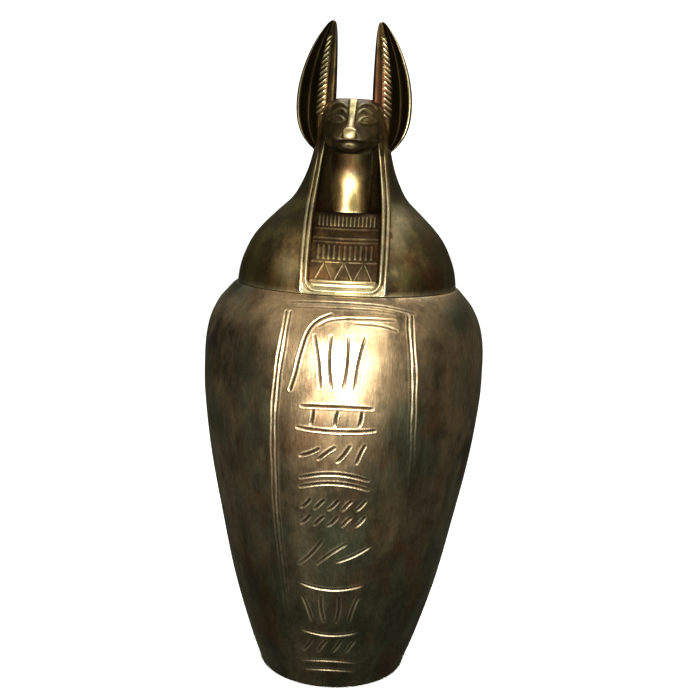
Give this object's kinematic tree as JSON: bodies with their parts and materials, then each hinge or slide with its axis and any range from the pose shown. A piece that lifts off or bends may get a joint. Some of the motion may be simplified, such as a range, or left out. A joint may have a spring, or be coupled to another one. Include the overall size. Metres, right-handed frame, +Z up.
{
  "type": "canopic jar",
  "caption": "Hollow cast-bronze canopic jar with a tall tapered body, a panel of shallow strokes, and a lift-off lid shaped as a jackal's head in its wig.",
  "frame": {"origin": "middle of the flat underside, on the jar's own axis", "axes": "+Z up along the jar's axis, the jackal's face looks along -Y, +X is to the right of someone who looks at the face"},
  "size_m": [0.1802, 0.1802, 0.42],
  "materials": {
    "jar_bronze": "satin",
    "lid_bronze": "polished"
  },
  "bodies": {
    "root": {"jar": "jar_bronze", "lid": "lid_bronze"}
  },
  "joints": []
}
